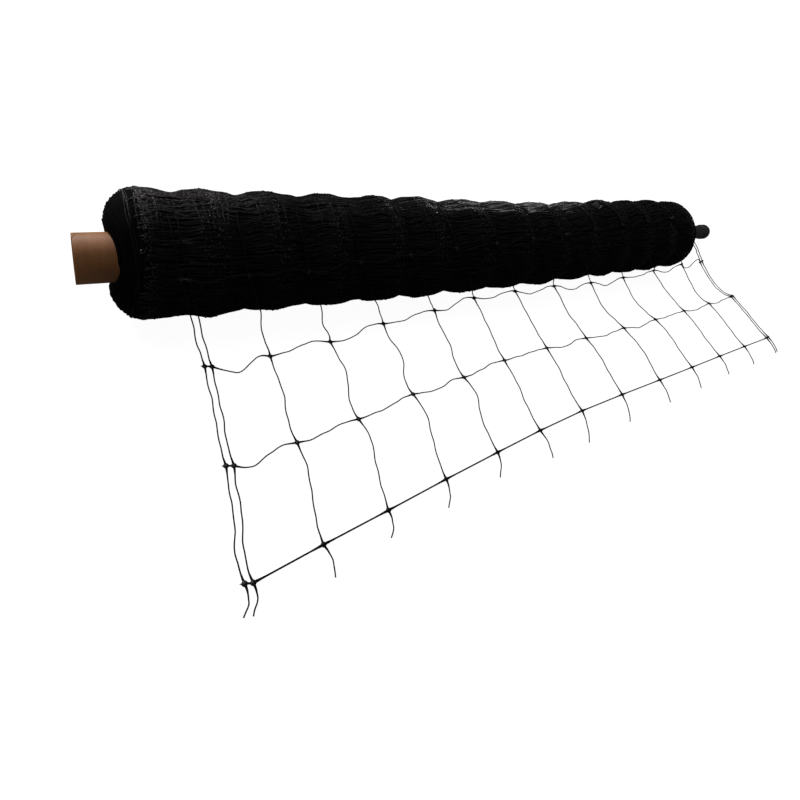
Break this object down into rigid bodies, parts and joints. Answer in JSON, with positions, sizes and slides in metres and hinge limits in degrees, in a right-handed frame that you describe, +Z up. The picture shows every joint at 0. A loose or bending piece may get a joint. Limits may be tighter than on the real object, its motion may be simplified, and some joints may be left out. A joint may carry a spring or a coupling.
{
  "type": "flower support netting",
  "caption": "Long roll of black square-mesh plastic plant support net on a card core, lying on its side with the loose end drawn over the front and spread out on the floor.",
  "frame": {"origin": "on the floor, in the flat spot under the seventh winding from the thick end", "axes": "+X along the roll from its thick end, where the card core stands out, to its thin end; +Z up from the floor; the net leaves the roll towards -Y"},
  "size_m": [2.0463, 0.7778, 0.2496],
  "materials": {
    "net_plastic": "black extruded plastic strand with a soft grey sheen",
    "core_card": "brown spiral-wound card, matt",
    "plug_plastic": "dark grey moulded plastic"
  },
  "bodies": {
    "root": {"roll": "net_plastic", "loose_net": "net_plastic", "core": "core_card", "core_plug": "plug_plastic"}
  },
  "joints": []
}
